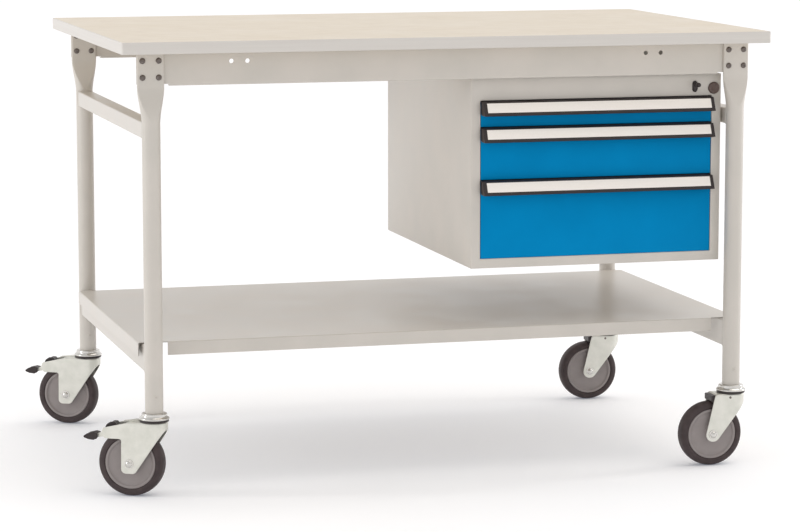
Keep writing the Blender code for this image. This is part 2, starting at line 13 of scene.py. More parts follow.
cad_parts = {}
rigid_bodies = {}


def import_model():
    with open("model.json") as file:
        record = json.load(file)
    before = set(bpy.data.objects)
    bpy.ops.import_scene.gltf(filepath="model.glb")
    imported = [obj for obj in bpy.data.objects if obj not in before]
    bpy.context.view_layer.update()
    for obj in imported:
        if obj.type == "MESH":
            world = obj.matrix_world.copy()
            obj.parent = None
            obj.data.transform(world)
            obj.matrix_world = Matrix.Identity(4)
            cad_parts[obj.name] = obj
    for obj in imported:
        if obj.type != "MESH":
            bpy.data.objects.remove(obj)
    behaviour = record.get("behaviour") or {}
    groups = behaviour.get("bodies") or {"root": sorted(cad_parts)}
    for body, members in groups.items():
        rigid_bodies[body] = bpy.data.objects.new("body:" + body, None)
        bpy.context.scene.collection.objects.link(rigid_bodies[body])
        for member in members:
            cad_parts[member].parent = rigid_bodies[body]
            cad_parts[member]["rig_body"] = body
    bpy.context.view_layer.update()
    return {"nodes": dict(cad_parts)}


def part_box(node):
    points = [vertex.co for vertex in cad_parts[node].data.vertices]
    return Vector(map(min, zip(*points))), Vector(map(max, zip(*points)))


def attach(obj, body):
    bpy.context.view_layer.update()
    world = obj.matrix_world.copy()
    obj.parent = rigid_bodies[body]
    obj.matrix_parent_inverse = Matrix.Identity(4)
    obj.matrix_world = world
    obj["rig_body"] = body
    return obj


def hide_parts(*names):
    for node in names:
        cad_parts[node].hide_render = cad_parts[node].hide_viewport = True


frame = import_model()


# ---- studio ---------------------------------------------------------------------------------------
# A plain pale floor that runs out of sight, a white room whose walls are lighter than its ceiling, one
# broad lamp nearly overhead, and a narrow softbox on each side that draws light edges down the tubes.
def linear(hex_colour):
    """An sRGB hex colour as the linear RGBA that a socket takes."""
    parts = [int(hex_colour[i:i + 2], 16) / 255 for i in (0, 2, 4)]
    return [c / 12.92 if c <= 0.04045 else ((c + 0.055) / 1.055) ** 2.4 for c in parts] + [1.0]


def add_node(tree, kind, sockets=None, **settings):
    """Adds one node: settings are its own properties, sockets its inputs, linked or given a value."""
    node = tree.nodes.new(kind)
    for name, value in settings.items():
        setattr(node, name, value)
    for key, value in (sockets or {}).items():
        if isinstance(value, bpy.types.NodeSocket):
            tree.links.new(value, node.inputs[key])
        else:
            node.inputs[key].default_value = value
    return node


def start_material(name, roughness, metallic=0.0):
    """A named material with its shader and its Object coordinates."""
    made = bpy.data.materials.new(name)
    made.use_nodes = True
    tree = made.node_tree
    shader = tree.nodes["Principled BSDF"]
    shader.inputs["Roughness"].default_value = roughness
    shader.inputs["Metallic"].default_value = metallic
    place = add_node(tree, "ShaderNodeTexCoord").outputs["Object"]
    return made, tree, shader, place


def per_mm(size):
    """The texture scale at which a feature measures that many millimetres."""
    return 1000.0 / size


def mottled(name, roughness, patch, detail, dark, light, span=(0.0, 1.0), metallic=0.0):
    """A material that drifts between two tones in patches of that many millimetres."""
    made, tree, shader, place = start_material(name, roughness, metallic)
    patches = add_node(tree, "ShaderNodeTexNoise", {
        "Vector": place, "Scale": per_mm(patch), "Detail": detail})
    ramp = add_node(tree, "ShaderNodeValToRGB", {"Fac": patches.outputs["Fac"]})
    for stop, position, colour in zip(ramp.color_ramp.elements, span, (dark, light)):
        stop.position = position
        stop.color = linear(colour)
    tree.links.new(ramp.outputs["Color"], shader.inputs["Base Color"])
    return made, tree, shader, place, patches.outputs["Fac"]


def as_object(name, bm):
    """A linked object made from the bmesh, which is used up."""
    mesh = bpy.data.meshes.new(name)
    bm.to_mesh(mesh)
    bm.free()
    item = bpy.data.objects.new(name, mesh)
    scene.collection.objects.link(item)
    return item


FLOOR_REACH = 60.0
scene = bpy.context.scene
scene.view_settings.view_transform = "Standard"

floor_bm = bmesh.new()
bmesh.ops.create_grid(floor_bm, x_segments=1, y_segments=1, size=FLOOR_REACH)
floor = as_object("studio_floor", floor_bm)

# matt studio paper, lit a little from beneath: nearly white, a trace of cloudiness half a metre across
paper, _, shader, _, _ = mottled("studio_paper", 0.85, 500, 2.0, "F5F4F2", "F9F8F6")
shader.inputs["Specular IOR Level"].default_value = 0.2
shader.inputs["Emission Color"].default_value = linear("E0EAFF")
shader.inputs["Emission Strength"].default_value = 0.155
floor.data.materials.append(paper)

# the room is lightest low on the left and right, where its lit walls are, and dimmer at the ceiling
ROOM_LIGHT = 1.02
CEILING_DIMMING = -0.30
BACK_WALL_GAIN = 0.10
SIDE_WALL_GAIN = 0.14
room = bpy.data.worlds.new("white_room")
scene.world = room
room.use_nodes = True
tree = room.node_tree
skyward = add_node(tree, "ShaderNodeTexCoord").outputs["Generated"]
toward = add_node(tree, "ShaderNodeSeparateXYZ", {0: skyward})
ceiling = add_node(tree, "ShaderNodeMath", {
    0: toward.outputs["Z"], 1: CEILING_DIMMING, 2: ROOM_LIGHT}, operation="MULTIPLY_ADD")
back_wall = add_node(tree, "ShaderNodeMath", {
    0: toward.outputs["Y"], 1: BACK_WALL_GAIN, 2: ceiling.outputs[0]}, operation="MULTIPLY_ADD")
sideways = add_node(tree, "ShaderNodeMath", {0: toward.outputs["X"], 1: 2.0}, operation="POWER")
walls = add_node(tree, "ShaderNodeMath", {
    0: sideways.outputs[0], 1: SIDE_WALL_GAIN, 2: back_wall.outputs[0]}, operation="MULTIPLY_ADD")
tree.nodes["Background"].inputs["Color"].default_value = linear("FBFAFA")
tree.links.new(walls.outputs[0], tree.nodes["Background"].inputs["Strength"])

lamp_data = bpy.data.lights.new("broad_lamp", "SUN")
lamp_data.energy = 0.62
lamp_data.angle = math.radians(50)
lamp_data.color = linear("FFF8F0")[:3]
lamp = bpy.data.objects.new("broad_lamp", lamp_data)
scene.collection.objects.link(lamp)
lamp.rotation_euler = Vector((0.32, -0.07, 1.0)).to_track_quat("Z", "Y").to_euler()

SOFTBOX_AIM = Vector((0.0, 0.0, 0.6))
for name, spot, power in (("left_softbox", (-3.0, 0.1, 1.2), 12.0),
                          ("right_softbox", (3.0, 0.0, 1.2), 11.0)):
    box_data = bpy.data.lights.new(name, "AREA")
    box_data.shape = "RECTANGLE"
    box_data.size = 0.3
    box_data.size_y = 1.7
    box_data.energy = power
    softbox = bpy.data.objects.new(name, box_data)
    softbox.location = spot
    softbox.rotation_euler = (Vector(spot) - SOFTBOX_AIM).to_track_quat("Z", "Y").to_euler()
    softbox.visible_camera = False
    scene.collection.objects.link(softbox)


def extent(node):
    """A CAD node's lowest corner, highest corner, middle and half size."""
    low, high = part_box(node)
    return low, high, (low + high) / 2, (high - low) / 2


# the camera looks at the middle of the space below the board, from the front left and a little above
top_low, top_high, top_middle, half_top = extent("worktop_edging")
HEADING = math.radians(15.355)
DIP = math.radians(7.998)
DISTANCE = 6.071
AIM_ASIDE = 0.0024
AIM_HEIGHT = 0.3584
camera_data = bpy.data.cameras.new("studio_camera")
camera_data.sensor_width = 36.0
camera_data.lens = 136.9
camera = bpy.data.objects.new("studio_camera", camera_data)
scene.collection.objects.link(camera)
scene.camera = camera
level = math.cos(DIP)
line_of_sight = Vector((math.sin(HEADING) * level, math.cos(HEADING) * level, -math.sin(DIP)))
aim = Vector((top_middle.x + AIM_ASIDE, top_middle.y, AIM_HEIGHT))
camera.location = aim - line_of_sight * DISTANCE
camera.rotation_euler = line_of_sight.to_track_quat("-Z", "Y").to_euler()


# ---- worktop --------------------------------------------------------------------------------------
# A 22 mm chipboard faced with pale melamine, and a 2 mm ABS band glued round its four edges. The
# band's arrises are rounded by the trimmer, and a hairline joint shows between board and band.
def rounded_rectangle(half_x, half_y, radius, steps):
    """A rectangle's outline with rounded corners, counterclockwise, as (x, y)."""
    points = []
    for corner in range(4):
        sign_x = 1 if corner in (0, 3) else -1
        sign_y = 1 if corner < 2 else -1
        for k in range(steps + 1):
            angle = math.pi / 2 * (corner + k / steps)
            points.append((sign_x * (half_x - radius) + radius * math.cos(angle),
                           sign_y * (half_y - radius) + radius * math.sin(angle)))
    return points


def loft(bm, rings, ends="capped"):
    """Quads between rings of equal length, whose ends are then capped, joined or left open."""
    pairs = list(zip(rings, rings[1:]))
    if ends == "joined":
        pairs.append((rings[-1], rings[0]))
    for low, high in pairs:
        for k in range(len(low)):
            m = (k + 1) % len(low)
            bm.faces.new((low[k], low[m], high[m], high[k]))
    if ends == "capped":
        bm.faces.new(rings[0])
        bm.faces.new(rings[-1])


def add_piece(name, bm, material, body, stands_for=(), crease=35):
    """Makes the bmesh a shaded piece that rides on its body and stands for its CAD nodes."""
    bmesh.ops.remove_doubles(bm, verts=bm.verts, dist=1e-6)
    bmesh.ops.recalc_face_normals(bm, faces=bm.faces)
    piece = as_object(name, bm)
    piece.data.materials.append(material)
    piece.data.shade_smooth()
    piece.data.set_sharp_from_angle(angle=math.radians(crease))
    weights = piece.modifiers.new("flat_faces_stay_flat", "WEIGHTED_NORMAL")
    weights.keep_sharp = True
    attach(piece, body)
    if stands_for:
        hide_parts(*stands_for)
    return piece


def worktop_layer(profile, ends):
    """The worktop's outline, drawn in and raised as each (inset, height) of the profile says."""
    bm = bmesh.new()
    rings = []
    for inset, height in profile:
        outline = rounded_rectangle(half_top.x - inset, half_top.y - inset, TOP_CORNER - inset,
                                    CORNER_STEPS)
        rings.append([bm.verts.new((top_middle.x + x, top_middle.y + y, top_low.z + height))
                      for x, y in outline])
    loft(bm, rings, ends)
    return bm


TOP_CORNER = 0.004
CORNER_STEPS = 5
BAND = 0.002
ARRIS = 0.0012
ARRIS_STEPS = 4
thickness = top_high.z - top_low.z
band_profile = [(BAND, 0.0)]
for k in range(ARRIS_STEPS + 1):
    turn = math.pi / 2 * k / ARRIS_STEPS
    band_profile.append((ARRIS * (1 - math.sin(turn)), ARRIS * (1 - math.cos(turn))))
band_profile += [(inset, thickness - height) for inset, height in reversed(band_profile)]


def embossed(made, pattern, strength, depth):
    """Lets a material's surface rise and fall with a pattern, by so many metres."""
    tree = made.node_tree
    bump = add_node(tree, "ShaderNodeBump", {"Height": pattern, "Strength": strength, "Distance": depth})
    tree.links.new(bump.outputs["Normal"], tree.nodes["Principled BSDF"].inputs["Normal"])


def drifting_gloss(made, pattern, smoothest, roughest, span=(0.0, 1.0)):
    """Lets a material's roughness follow a pattern, from one end of the span to the other."""
    tree = made.node_tree
    drift = add_node(tree, "ShaderNodeMapRange", {
        "Value": pattern, "From Min": span[0], "From Max": span[1], "To Min": smoothest,
        "To Max": roughest})
    tree.links.new(drift.outputs["Result"], tree.nodes["Principled BSDF"].inputs["Roughness"])


# ABS edge band: satin, a little greyer than the board, faintly streaked along its length by extrusion
edge_band, tree, shader, place = start_material("abs_edge_band", 0.42)
along = add_node(tree, "ShaderNodeMapping", {"Vector": place, "Scale": (4.0, 4.0, 260.0)})
streaks = add_node(tree, "ShaderNodeTexNoise", {
    "Vector": along.outputs["Vector"], "Scale": 1.0, "Detail": 3.0})
band_ramp = add_node(tree, "ShaderNodeValToRGB", {"Fac": streaks.outputs["Fac"]})
band_ramp.color_ramp.elements[0].color = linear("CBC6C0")
band_ramp.color_ramp.elements[1].color = linear("D6D2CC")
tree.links.new(band_ramp.outputs["Color"], shader.inputs["Base Color"])
embossed(edge_band, streaks.outputs["Fac"], 0.15, 0.0001)
add_piece("edge_band", worktop_layer(band_profile, "joined"), edge_band, "bench",
          ["worktop_edging"])

JOINT = BAND + 0.00008
CHAMFER = 0.0003
board_profile = [(JOINT + CHAMFER, 0.0), (JOINT, CHAMFER), (JOINT, thickness - CHAMFER),
                 (JOINT + CHAMFER, thickness)]

# Melamine resin film, pale beige: satin, embossed with a fine pearl texture of about 0.8 mm (drawn at
# 2 mm so that it shows), with a soft mottle in the paper and a sheen that use has dulled in patches
melamine, tree, _, place, mottle = mottled("melamine_board", 0.40, 35, 6.0, "D4C7B2", "DBCFBB",
                                           (0.3, 0.7))
mottle.node.inputs["Roughness"].default_value = 0.6
pearl = add_node(tree, "ShaderNodeTexNoise", {"Vector": place, "Scale": per_mm(2.0), "Detail": 2.0})
embossed(melamine, pearl.outputs["Fac"], 0.25, 0.0001)
sheen = add_node(tree, "ShaderNodeTexNoise", {"Vector": place, "Scale": per_mm(120), "Detail": 5.0})
drifting_gloss(melamine, sheen.outputs["Fac"], 0.36, 0.46, (0.3, 0.7))
add_piece("melamine_board", worktop_layer(board_profile, "capped"), melamine, "bench",
          ["worktop"])


# ---- legs -----------------------------------------------------------------------------------------
# Four 34 mm steel tubes. The upper end of each is pressed flat, which leaves a pair of creases where
# the round tube runs out into the plate, and everything is powder-coated in light grey.
LEG_RADIUS = 0.017
PLATE_HALF = 0.00275
TAPER_LOW = 0.690
TAPER_HIGH = 0.757
FOOT_BORE = 0.0150
BORE_DEPTH = 0.060
FOOT_EDGE = 0.0006
SIDE_STEPS = 24
FACE_STEPS = 8
TAPER_STEPS = 22


def pressed_section(z):
    """The tube's outline at one height: round sides, and two flat faces with a crease between."""
    share = min(1.0, max(0.0, (z - TAPER_LOW) / (TAPER_HIGH - TAPER_LOW)))
    ease = share * share * (3 - 2 * share)
    half_y = LEG_RADIUS + (PLATE_HALF - LEG_RADIUS) * ease
    half_x = half_y + math.pi * (LEG_RADIUS - half_y) / 2
    side_radius = half_y + (LEG_RADIUS - half_y) * (1 - share)
    lean = math.asin(min(1.0, half_y / side_radius))
    face_end = half_x - side_radius + side_radius * math.cos(lean)
    points = []
    for sign in (1, -1):
        for k in range(SIDE_STEPS + 1):
            angle = lean * (2 * k / SIDE_STEPS - 1)
            points.append((sign * (half_x - side_radius + side_radius * math.cos(angle)),
                           sign * side_radius * math.sin(angle)))
        for k in range(1, FACE_STEPS):
            points.append((sign * face_end * (1 - 2 * k / FACE_STEPS), sign * half_y))
    return points


def powder_coat(name, dark, light, roughness):
    """Powder-coated steel: baked polyester, satin, with an orange-peel skin of 1.5 mm waves."""
    made, tree, _, place, tone = mottled(name, roughness, 90, 4.0, dark, light, (0.35, 0.65))
    peel = add_node(tree, "ShaderNodeTexNoise", {"Vector": place, "Scale": per_mm(1.5), "Detail": 1.0})
    embossed(made, peel.outputs["Fac"], 0.2, 0.00008)
    drifting_gloss(made, tone, roughness - 0.04, roughness + 0.04, (0.3, 0.7))
    return made


grey_coat = powder_coat("light_grey_powder_coat", "C7C2BA", "CDC7BF", 0.325)
leg_axes = {}
bore = FOOT_BORE / LEG_RADIUS
for leg in ("front_left_leg", "front_right_leg", "back_left_leg", "back_right_leg"):
    low, high, axis, _ = extent(leg)
    axis.z = low.z
    leg_axes[leg] = axis
    stops = [(low.z + BORE_DEPTH, bore), (low.z, bore), (low.z, 1 - FOOT_EDGE / LEG_RADIUS),
             (low.z + FOOT_EDGE, 1.0)]
    for k in range(TAPER_STEPS + 1):
        stops.append((TAPER_LOW + (TAPER_HIGH - TAPER_LOW) * k / TAPER_STEPS, 1.0))
    stops.append((high.z, 1.0))
    leg_bm = bmesh.new()
    rings = []
    for z, scale in stops:
        rings.append([leg_bm.verts.new((axis.x + x * scale, axis.y + y * scale, z))
                      for x, y in pressed_section(z)])
    loft(leg_bm, rings)
    add_piece(f"{leg}_tube", leg_bm, grey_coat, "bench", [leg], crease=50)


# ---- aprons ---------------------------------------------------------------------------------------
# Two channels folded from 2 mm sheet, bolted behind the flattened leg ends at front and back. Each has
# a wide flange under the board, a short lip below, and two pairs of spare holes in its web.
def rounded_line(corners, radius, steps):
    """An open line through 2-D corners, with an arc at each bend."""
    line = [Vector(corners[0])]
    for before, corner, after in zip(corners, corners[1:], corners[2:]):
        middle = Vector(corner)
        back = (Vector(before) - middle).normalized()
        ahead = (Vector(after) - middle).normalized()
        half = math.acos(max(-1.0, min(1.0, back.dot(ahead)))) / 2
        centre = middle + (back + ahead).normalized() * (radius / math.sin(half))
        start = middle + back * (radius / math.tan(half)) - centre
        end = middle + ahead * (radius / math.tan(half)) - centre
        sweep = math.atan2(start.x * end.y - start.y * end.x, start.dot(end))
        for k in range(steps + 1):
            turn = sweep * k / steps
            line.append(centre + Vector((start.x * math.cos(turn) - start.y * math.sin(turn),
                                         start.x * math.sin(turn) + start.y * math.cos(turn))))
    line.append(Vector(corners[-1]))
    return line


def sheet_section(corners, sheet, radius, steps=5):
    """The closed outline of a folded sheet, from the corners of its middle line."""
    line = rounded_line(corners, radius, steps)
    left, right = [], []
    for i, point in enumerate(line):
        ahead = line[min(i + 1, len(line) - 1)] - line[max(i - 1, 0)]
        aside = Vector((-ahead.y, ahead.x)).normalized() * (sheet / 2)
        left.append(point + aside)
        right.append(point - aside)
    return left + right[::-1]


def push_outline(outline, axis, start, end):
    """A bmesh of a closed outline pushed along X (from y, z points), Y (x, z) or Z (x, y)."""
    order = {"X": (2, 0, 1), "Y": (0, 2, 1), "Z": (0, 1, 2)}[axis]
    bm = bmesh.new()
    rings = []
    for stop in (start, end):
        corners = [(a, b, stop) for a, b in outline]
        rings.append([bm.verts.new([corner[i] for i in order]) for corner in corners])
    loft(bm, rings)
    return bm


def evaluated(item, *helpers):
    """The bmesh that an object's modifiers make of it; it and its helpers are removed."""
    bpy.context.view_layer.update()
    done = item.evaluated_get(bpy.context.evaluated_depsgraph_get()).to_mesh()
    result = bmesh.new()
    result.from_mesh(done)
    for used in (item, *helpers):
        bpy.data.objects.remove(used, do_unlink=True)
    return result


def combine(operation, bm, others):
    """The bmesh with each of the others taken out of it, or shared with it, by exact Booleans."""
    items = []
    for part in (bm, *others):
        bmesh.ops.recalc_face_normals(part, faces=part.faces)
        items.append(as_object("part_of_boolean", part))
    for other in items[1:]:
        boolean = items[0].modifiers.new(other.name, "BOOLEAN")
        boolean.operation = operation
        boolean.solver = "EXACT"
        boolean.object = other
    return evaluated(*items)


def turned(profile, segments, centre=(0.0, 0.0, 0.0), axis="Z", joined=False):
    """A bmesh of a (radius, height) profile turned about an axis through centre; a ring's is joined."""
    bm = bmesh.new()
    rings = []
    for radius, height in profile:
        angles = [2 * math.pi * k / segments for k in range(segments)]
        rings.append([bm.verts.new((radius * math.cos(a), radius * math.sin(a), height)) for a in angles])
    loft(bm, rings, "joined" if joined else "open")
    if not joined:
        for ring, (radius, _) in ((rings[0], profile[0]), (rings[-1], profile[-1])):
            if radius > 1e-5:
                bm.faces.new(ring)
    bmesh.ops.remove_doubles(bm, verts=bm.verts, dist=1e-7)
    if axis == "Y":
        bm.transform(Matrix.Rotation(math.radians(90), 4, "X"))
    bm.transform(Matrix.Translation(centre))
    return bm


APRON_SHEET = 0.002
APRON_LIP = 0.015
HOLE_RADIUS = 0.0042
HOLE_DROP = 0.0167
HOLE_OFFSETS = (-0.416, -0.386, 0.386, 0.416)
LIP_STOP = 0.0605
LIP_CUT = 0.0036
SPARE = 0.01
for apron in ("front_apron", "back_apron"):
    low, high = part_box(apron)
    web = low.y + APRON_SHEET / 2
    corners = [(low.y + APRON_LIP, low.z + APRON_SHEET / 2), (web, low.z + APRON_SHEET / 2),
               (web, high.z - APRON_SHEET / 2), (high.y, high.z - APRON_SHEET / 2)]
    stock = push_outline(sheet_section(corners, APRON_SHEET, 0.0025), "X", low.x, high.x)
    cutters = []
    for offset in HOLE_OFFSETS:
        cutters.append(turned([(HOLE_RADIUS, -SPARE), (HOLE_RADIUS, SPARE)], 24,
                              (top_middle.x + offset, web, high.z - HOLE_DROP), "Y"))
    # the lower lip stops short of each end, to clear the leg
    for left, right in ((low.x - 2 * SPARE, low.x + LIP_STOP), (high.x - LIP_STOP, high.x + 2 * SPARE)):
        notch = [(left, low.y - SPARE), (right, low.y - SPARE), (right, low.y + 2 * SPARE),
                 (left, low.y + 2 * SPARE)]
        cutters.append(push_outline(notch, "Z", low.z - SPARE, low.z + LIP_CUT))
    channel = combine("DIFFERENCE", stock, cutters)
    add_piece(f"{apron}_channel", channel, grey_coat, "bench", [apron])


# ---- side bars ------------------------------------------------------------------------------------
# Rectangular tube between the front and back leg of each side: a low one that carries the tray and a
# slimmer one above. The ends are coped to the round legs and welded; the beads show under the paint.
BAR_CORNER = 0.0025
BEAD_STEP = 0.0025
bead_bm = bmesh.new()
for side in ("left", "right"):
    for level in ("upper", "lower"):
        node = f"{level}_bar_{side}"
        low, high, middle, half = extent(node)
        loop = rounded_rectangle(half.x, half.z, BAR_CORNER, CORNER_STEPS)
        bar = push_outline([(middle.x + x, middle.z + z) for x, z in loop], "Y", low.y, high.y)
        add_piece(f"{node}_tube", bar, grey_coat, "bench", [node])
        dense = []
        for (x0, z0), (x1, z1) in zip(loop, loop[1:] + loop[:1]):
            pieces = max(1, round(math.hypot(x1 - x0, z1 - z0) / BEAD_STEP))
            dense += [(x0 + (x1 - x0) * k / pieces, z0 + (z1 - z0) * k / pieces) for k in range(pieces)]
        for end, inward in (("front", 1), ("back", -1)):
            leg_y = leg_axes[f"{end}_{side}_leg"].y
            verts = []
            for x, z in dense:
                depth = math.sqrt(max(0.0, LEG_RADIUS ** 2 - x ** 2))
                verts.append(bead_bm.verts.new((middle.x + x, leg_y + inward * depth, middle.z + z)))
            for first, second in zip(verts, verts[1:] + verts[:1]):
                bead_bm.edges.new((first, second))
bead_path = as_object("weld_beads", bead_bm)


def start_tree(name, kinds):
    """A Geometry Nodes tree that takes a geometry and these named inputs, and its input node."""
    tree = bpy.data.node_groups.new(name, "GeometryNodeTree")
    tree.interface.new_socket("Geometry", in_out="INPUT", socket_type="NodeSocketGeometry")
    for label, kind in kinds.items():
        tree.interface.new_socket(label, in_out="INPUT", socket_type=f"NodeSocket{kind}")
    tree.interface.new_socket("Geometry", in_out="OUTPUT", socket_type="NodeSocketGeometry")
    return tree, add_node(tree, "NodeGroupInput")


def end_tree(tree, given, geometry):
    """Ends a tree: instances are made real and take the given material."""
    real = add_node(tree, "GeometryNodeRealizeInstances", {"Geometry": geometry})
    coated = add_node(tree, "GeometryNodeSetMaterial", {
        "Geometry": real.outputs["Geometry"], "Material": given.outputs["Material"]})
    add_node(tree, "NodeGroupOutput", {"Geometry": coated.outputs["Geometry"]})


def grown(item, tree, values, material, body):
    """Runs a Geometry Nodes tree on an object, and makes the result a plain piece on its body."""
    modifier = item.modifiers.new(tree.name, "NODES")
    modifier.node_group = tree
    for socket in tree.interface.items_tree:
        if socket.in_out == "INPUT" and socket.name in values:
            modifier[socket.identifier] = values[socket.name]
    bpy.context.view_layer.update()
    depsgraph = bpy.context.evaluated_depsgraph_get()
    mesh = bpy.data.meshes.new_from_object(item.evaluated_get(depsgraph), depsgraph=depsgraph)
    name = item.name
    bpy.data.objects.remove(item, do_unlink=True)
    mesh.materials.clear()
    mesh.materials.append(material)
    mesh.polygons.foreach_set("material_index", [0] * len(mesh.polygons))
    piece = bpy.data.objects.new(name, mesh)
    scene.collection.objects.link(piece)
    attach(piece, body)
    return piece


# the bead is a round rope along each joint, swollen and pinched every few millimetres as it was laid
bead_tree, given = start_tree("weld_bead", {"Bead Radius": "Float", "Ripple": "Float",
                                            "Material": "Material"})
route = add_node(bead_tree, "GeometryNodeMeshToCurve", {"Mesh": given.outputs["Geometry"]})
rope = add_node(bead_tree, "GeometryNodeCurvePrimitiveCircle", {
    "Radius": given.outputs["Bead Radius"], "Resolution": 8})
bead = add_node(bead_tree, "GeometryNodeCurveToMesh", {
    "Curve": route.outputs["Curve"], "Profile Curve": rope.outputs["Curve"]})
wave = add_node(bead_tree, "ShaderNodeTexNoise", {"Scale": per_mm(3.0), "Detail": 1.0})
normal = add_node(bead_tree, "GeometryNodeInputNormal")
centred = add_node(bead_tree, "ShaderNodeMath", {0: wave.outputs["Fac"], 1: 0.5}, operation="SUBTRACT")
amount = add_node(bead_tree, "ShaderNodeMath", {
    0: centred.outputs[0], 1: given.outputs["Ripple"]}, operation="MULTIPLY")
push = add_node(bead_tree, "ShaderNodeVectorMath", {
    0: normal.outputs["Normal"], "Scale": amount.outputs[0]}, operation="SCALE")
rippled = add_node(bead_tree, "GeometryNodeSetPosition", {
    "Geometry": bead.outputs["Mesh"], "Offset": push.outputs["Vector"]})
rounded = add_node(bead_tree, "GeometryNodeSetShadeSmooth", {"Geometry": rippled.outputs["Geometry"]})
end_tree(bead_tree, given, rounded.outputs["Geometry"])
grown(bead_path, bead_tree, {"Bead Radius": 0.0016, "Ripple": 0.0012, "Material": grey_coat}, grey_coat,
      "bench")


# ---- frame screws ---------------------------------------------------------------------------------
# Four black button-head screws with hexagon sockets hold each flattened leg end to its apron, with a
# flange nut behind the web, and one small painted screw near each foot clamps the caster's stem.

# blackened steel: dark oxide, half gloss, with the dry smudges of the oil finish
black_oxide, *_ = mottled("black_oxide_steel", 0.30, 4, 4.0, "5A5350", "857D78", metallic=0.85)

screw_tree, given = start_tree("button_head_screws", {
    "Head Radius": "Float", "Head Height": "Float", "Socket Radius": "Float", "Socket Depth": "Float",
    "Turn": "Rotation", "Material": "Material"})
measures = {}
for measure, source, share in (("shoulder", "Head Radius", 0.86), ("crown", "Head Radius", 0.56),
                               ("skirt", "Head Height", 0.6), ("dome", "Head Height", 0.4)):
    measures[measure] = add_node(screw_tree, "ShaderNodeMath", {
        0: given.outputs[source], 1: share}, operation="MULTIPLY").outputs[0]
skirt = add_node(screw_tree, "GeometryNodeMeshCone", {
    "Vertices": 28, "Radius Bottom": given.outputs["Head Radius"], "Radius Top": measures["shoulder"],
    "Depth": measures["skirt"]})
dome = add_node(screw_tree, "GeometryNodeMeshCone", {
    "Vertices": 28, "Radius Bottom": measures["shoulder"], "Radius Top": measures["crown"],
    "Depth": measures["dome"]})
lift = add_node(screw_tree, "ShaderNodeCombineXYZ", {"Z": measures["skirt"]})
raised = add_node(screw_tree, "GeometryNodeTransform", {
    "Geometry": dome.outputs["Mesh"], "Translation": lift.outputs["Vector"]})
key_hole = add_node(screw_tree, "GeometryNodeMeshCylinder", {
    "Vertices": 6, "Radius": given.outputs["Socket Radius"], "Depth": given.outputs["Socket Depth"]})
hole_place = add_node(screw_tree, "ShaderNodeCombineXYZ", {"Z": given.outputs["Head Height"]})
hole_up = add_node(screw_tree, "GeometryNodeTransform", {
    "Geometry": key_hole.outputs["Mesh"], "Translation": hole_place.outputs["Vector"]})
head = add_node(screw_tree, "GeometryNodeMeshBoolean", {
    "Mesh 1": raised.outputs["Geometry"],
    "Mesh 2": hole_up.outputs["Geometry"]}, operation="DIFFERENCE")
whole = add_node(screw_tree, "GeometryNodeJoinGeometry")
screw_tree.links.new(skirt.outputs["Mesh"], whole.inputs["Geometry"])
screw_tree.links.new(head.outputs["Mesh"], whole.inputs["Geometry"])


def end_on_points(tree, given, part):
    """Ends a tree by standing the part on every point of the given mesh, turned as given."""
    seats = add_node(tree, "GeometryNodeMeshToPoints", {"Mesh": given.outputs["Geometry"]})
    placed = add_node(tree, "GeometryNodeInstanceOnPoints", {
        "Points": seats.outputs["Points"], "Instance": part, "Rotation": given.outputs["Turn"]})
    end_tree(tree, given, placed.outputs["Instances"])


end_on_points(screw_tree, given, whole.outputs["Geometry"])


def grown_on_points(name, seats, tree, values, turn, material, body, crease):
    """Parts of one size on one body, seated at points and turned one way."""
    seat_bm = bmesh.new()
    for seat in seats:
        seat_bm.verts.new(seat)
    piece = grown(as_object(name, seat_bm), tree, {**values, "Turn": turn, "Material": material},
                  material, body)
    piece.data.shade_smooth()
    piece.data.set_sharp_from_angle(angle=math.radians(crease))


SCREW_ASIDE = 0.015
SCREW_DROPS = (0.0135, 0.0440)
STEM_SCREW_HEIGHT = 0.031
front_screws, back_nuts, stem_screws = [], [], []
for leg, axis in leg_axes.items():
    apron_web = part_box("front_apron" if leg.startswith("front") else "back_apron")[0].y
    for across in (-SCREW_ASIDE, SCREW_ASIDE):
        for drop in SCREW_DROPS:
            height = top_low.z - drop
            front_screws.append((axis.x + across, axis.y - PLATE_HALF, height))
            back_nuts.append((axis.x + across, apron_web + APRON_SHEET, height))
    stem_screws.append((axis.x, axis.y - LEG_RADIUS + 0.0002, axis.z + STEM_SCREW_HEIGHT))
for name, seats, way, material, slot, sizes in (
        ("frame_screws", front_screws, -1, black_oxide, "black_plastic", (0.0056, 0.0032, 0.0024, 0.003)),
        ("frame_nuts", back_nuts, 1, black_oxide, "black_plastic", (0.0066, 0.005, 0.003, 0.002)),
        ("stem_screws", stem_screws, -1, grey_coat, "frame_paint", (0.0034, 0.0016, 0.0015, 0.0014))):
    values = dict(zip(("Head Radius", "Head Height", "Socket Radius", "Socket Depth"), sizes))
    outward = Vector((0, way, 0)).to_track_quat("Z", "Y").to_euler()
    grown_on_points(name, seats, screw_tree, values, outward, material, "bench", 28)


